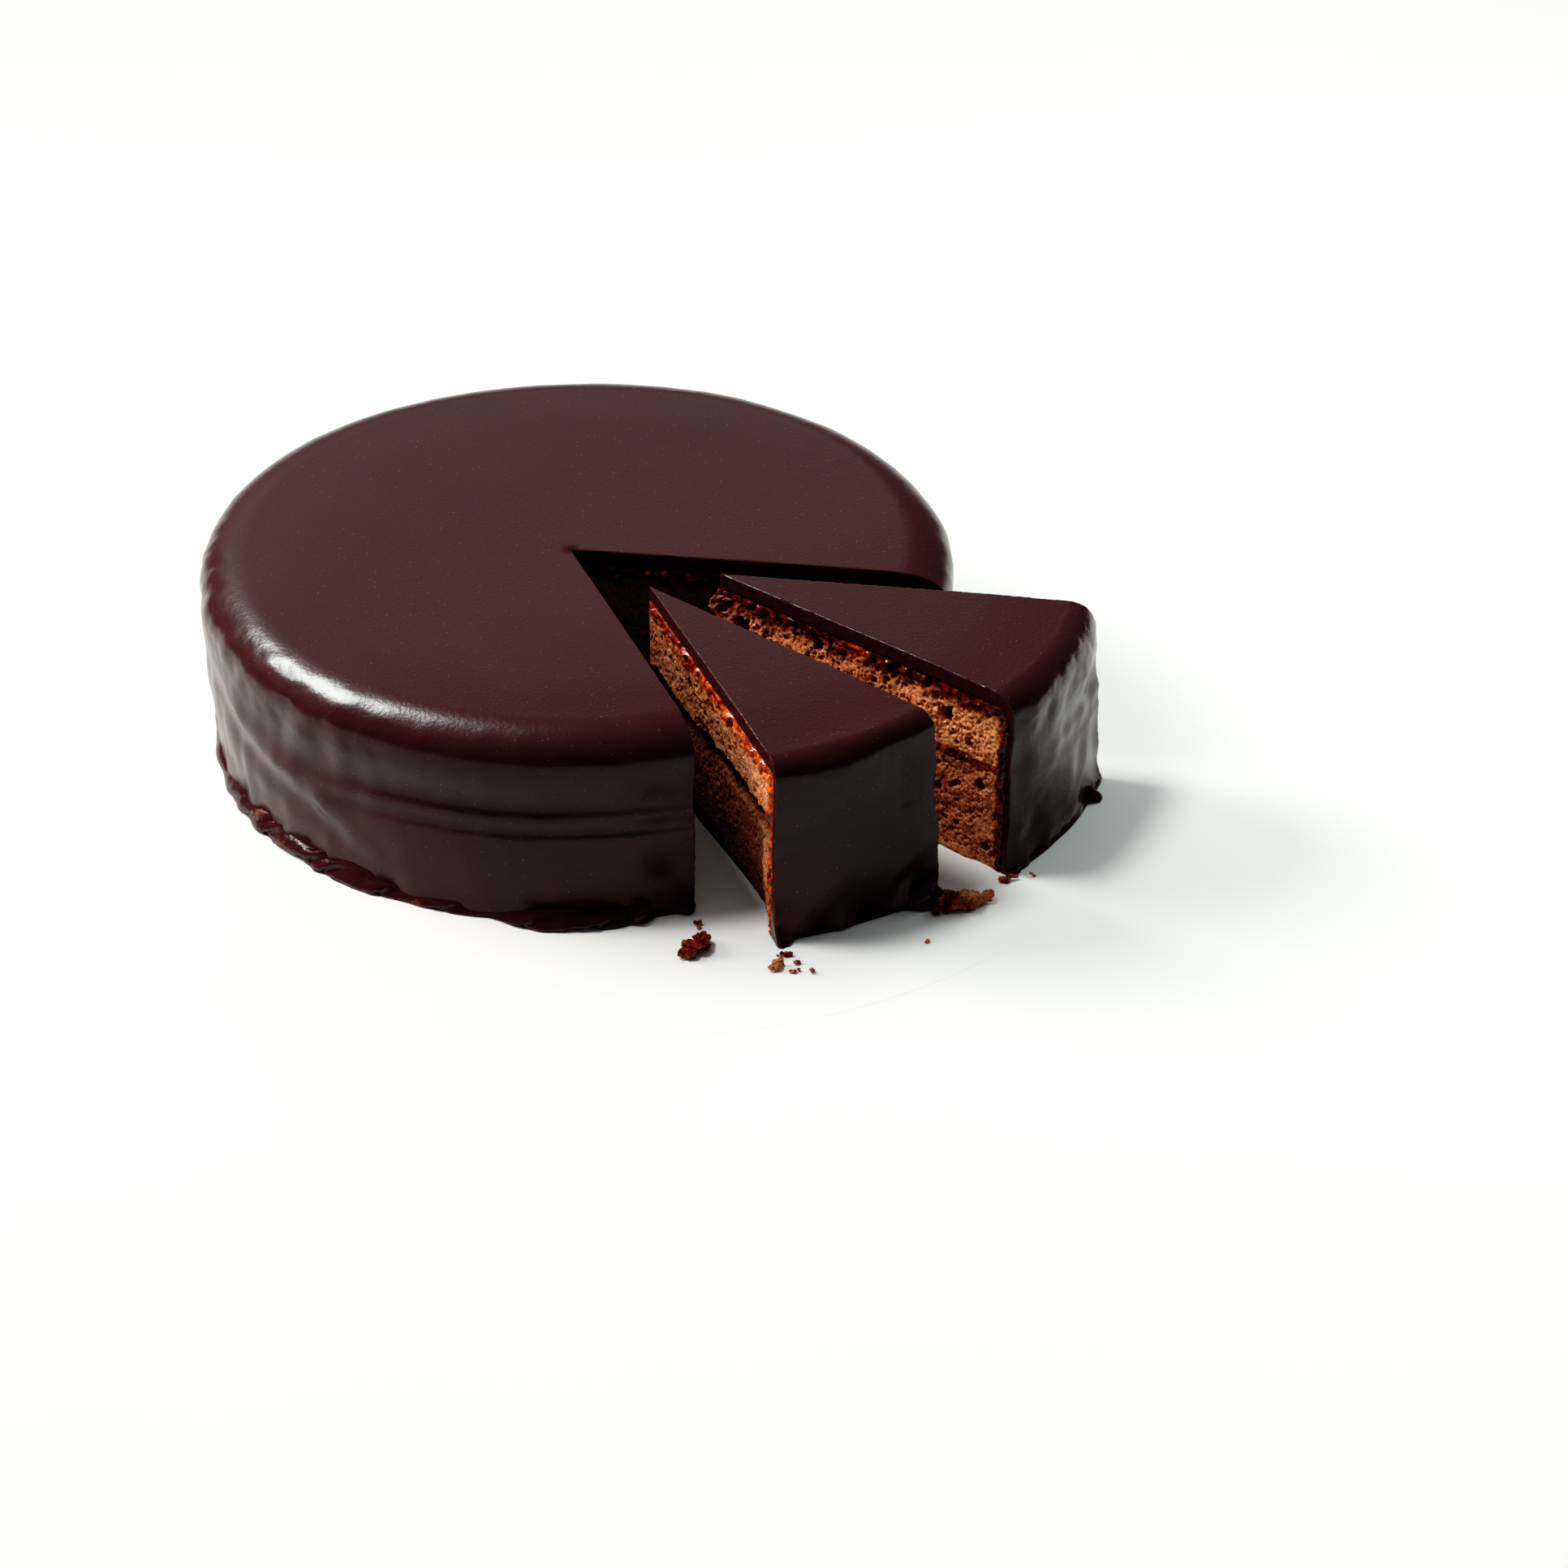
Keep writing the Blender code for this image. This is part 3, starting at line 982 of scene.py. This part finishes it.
FOLDS = {
    CAKE: (
        (219.0, 18.0, 1.0, 1.9, 0.5),
        (246.0, 14.0, 0.6, 0.6, 0.35),
        (271.8, 10.0, 3.0, 0.8, 0.25),
        (282.0, 1.5, 1.3, 1.6, 0.5),
        (289.3, 1.6, 1.1, 1.3, 0.3),
        (120.0, 16.0, 0.6, 0.9, 0.4),
        (40.0, 20.0, 0.5, 0.7, 0.4),
    ),
    SLICE_1: ((-68.3, 1.6, 1.6, 1.3, 0.4), (-43.8, 3.2, 3.2, 3.2, 0.6)),
    SLICE_2: ((-14.5, 1.1, 1.7, 1.3, 0.2), (-39.0, 1.6, 0.8, 0.6, 0.4)),
}
for wedge, folds in FOLDS.items():
    plain, steps = ((0.7, 1.1), 900) if wedge.whole else ((0.3, 0.5), 110)
    make_skirt(wedge, folds, plain, steps, skirt_material)
make_heap(
    "crumbs",
    (
        (38.7, -110.0, 5.0, 2.2, 1.8, 115.0, 5),
        (39.5, -119.5, 6.0, 4.0, 3.6, 50.0, 8),
        (114.0, -99.0, 15.0, 7.0, 5.4, 12.0, 30),
        (60.0, -131.0, 5.0, 3.6, 2.6, 25.0, 9),
        (65.6, -133.4, 4.0, 2.0, 1.4, 15.0, 4),
        (70.3, -132.8, 3.0, 2.2, 1.8, -30.0, 4),
        (66.4, -129.0, 2.0, 1.5, 1.4, 0.0, 1),
        (61.5, -126.2, 2.4, 2.0, 1.6, 0.0, 3),
        (126.3, -86.0, 6.0, 3.0, 2.4, 10.0, 6),
        (134.0, -84.0, 2.6, 1.7, 1.4, 20.0, 2),
        (103.0, -118.0, 1.5, 1.2, 1.0, 50.0, 1),
    ),
    rng,
    sponge_material,
)
make_heap(
    "jam_crumbs",
    (
        (37.6, -122.6, 11.5, 5.5, 5.0, 52.0, 24),
        (108.0, -102.0, 7.0, 4.2, 3.6, 15.0, 9),
        (63.0, -125.3, 4.5, 2.4, 1.8, 20.0, 5),
        (127.8, -82.0, 4.0, 3.0, 2.4, 60.0, 3),
    ),
    rng,
    jam_material,
)


# ---- floor, camera and lights -------------------------------------------------------------------
def make_floor():
    """A pale floor. Its part away from the cake throws no light back, as in a dark studio."""
    pale = floor_look()
    middle = CAKE.axis * MM + np.array([0.016, -0.010])
    deselect_all()
    bpy.ops.mesh.primitive_circle_add(
        vertices=96, radius=NEAR_FLOOR * MM, fill_type="NGON", location=(*middle, -0.0001)
    )
    near = bpy.context.object
    near.name = "floor_near"
    deselect_all()
    bpy.ops.mesh.primitive_plane_add(size=8.0, location=(0.0, 0.0, -0.00013))
    far = bpy.context.object
    far.name = "floor_far"
    far.visible_diffuse = False
    for floor in (near, far):
        floor.data.materials.append(pale)
        floor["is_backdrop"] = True


def make_camera(offset, tilt, lens):
    """A camera that looks along +Y and down, placed from the cake's axis in metres."""
    x, y, z = offset
    axis = CAKE.axis * MM
    camera_data = bpy.data.cameras.new("camera")
    camera_data.lens = lens
    camera = bpy.data.objects.new("camera", camera_data)
    camera.location = (axis[0] + x, axis[1] + y, z)
    camera.rotation_euler = (math.radians(tilt), 0.0, 0.0)
    bpy.context.scene.collection.objects.link(camera)
    bpy.context.scene.camera = camera


def towards(azimuth, elevation):
    """The direction to a light, by its angle about +Z from +X and its height above the floor."""
    azimuth, elevation = math.radians(azimuth), math.radians(elevation)
    flat = math.cos(elevation)
    return Vector((flat * math.cos(azimuth), flat * math.sin(azimuth), math.sin(elevation)))


def make_sun(name, azimuth, elevation, strength, spread, colour=(1.0, 1.0, 1.0)):
    """A soft light of one direction, which lights surfaces but isn't mirrored in them."""
    light = bpy.data.lights.new(name, "SUN")
    light.energy, light.angle, light.color = strength, math.radians(spread), colour
    lamp = bpy.data.objects.new(name, light)
    lamp.rotation_euler = towards(azimuth, elevation).to_track_quat("Z", "Y").to_euler()
    lamp.visible_glossy = False
    bpy.context.scene.collection.objects.link(lamp)


def make_panel(name, place, aim, size, power, colour):
    """A square panel near the cake, which lights surfaces but isn't mirrored in them."""
    light = bpy.data.lights.new(name, "AREA")
    light.size, light.energy, light.color = size, power, colour
    lamp = bpy.data.objects.new(name, light)
    lamp.location = place
    lamp.rotation_euler = (Vector(place) - Vector(aim)).to_track_quat("Z", "Y").to_euler()
    lamp.visible_glossy = False
    bpy.context.scene.collection.objects.link(lamp)


def make_card(name, azimuth, elevation, distance, size, power, colour=(1.0, 1.0, 1.0)):
    """A panel that is mirrored in glossy surfaces and lights nothing else."""
    light = bpy.data.lights.new(name, "AREA")
    light.shape, (light.size, light.size_y) = "RECTANGLE", size
    light.energy, light.color = power, colour
    lamp = bpy.data.objects.new(name, light)
    direction = towards(azimuth, elevation)
    lamp.location = Vector((0.0, 0.0, 0.04)) + direction * distance
    lamp.rotation_euler = direction.to_track_quat("Z", "Y").to_euler()
    lamp.visible_diffuse = False
    bpy.context.scene.collection.objects.link(lamp)


# The tone curve's points: a share of the light, and the level it is shown at.
TONES = ((0.012, 0.002), (0.03, 0.01), (0.06, 0.04), (0.1, 0.088), (0.2, 0.205), (0.5, 0.57))


def deepen_shadows():
    """A print-like tone curve: the darkest tones sink, and the light ones stay."""
    view = bpy.context.scene.view_settings
    view.use_curve_mapping = True
    curve = view.curve_mapping.curves[3]
    for share, level in TONES:
        curve.points.new(share, level)
    view.curve_mapping.update()


def make_world(colour, strength):
    world = bpy.data.worlds.new("studio")
    world.use_nodes = True
    background = world.node_tree.nodes["Background"]
    background.inputs["Color"].default_value = (*colour, 1.0)
    background.inputs["Strength"].default_value = strength
    bpy.context.scene.world = world


make_floor()
make_camera((0.0626, -1.5372, 0.9408), 57.96, 138.6)
make_world((1.0, 1.0, 1.0), 0.11)
make_sun("key", 174.0, 65.0, 1.72, 14.0, (1.0, 0.98, 0.96))
make_sun("left", 165.0, 28.0, 2.7, 30.0, (1.0, 0.90, 0.80))
make_sun("overhead", 100.0, 75.0, 0.36, 60.0)
make_card("back_left_card", 137.0, 50.5, 1.3, (0.46, 0.42), 21.0, (0.93, 1.0, 0.955))
make_card("back_card", 103.0, 26.0, 0.7, (0.6, 0.28), 0.19)
make_panel("left_panel", (-0.42, 0.10, 0.30), (-0.19, 0.04, 0.0), 0.2, 0.8, (1.0, 0.93, 0.86))
make_panel("right_panel", (0.42, 0.20, 0.25), (0.18, -0.01, 0.0), 0.25, 0.85, (0.94, 1.0, 0.97))
bpy.context.scene.view_settings.view_transform = "Standard"
bpy.context.scene.view_settings.look = "None"
deepen_shadows()

# The numbers that only helped to shape the layers aren't needed any more.
HELPERS = ("along", "across", "turn")
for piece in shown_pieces():
    for name in HELPERS:
        if name in piece.data.attributes:
            piece.data.attributes.remove(piece.data.attributes[name])
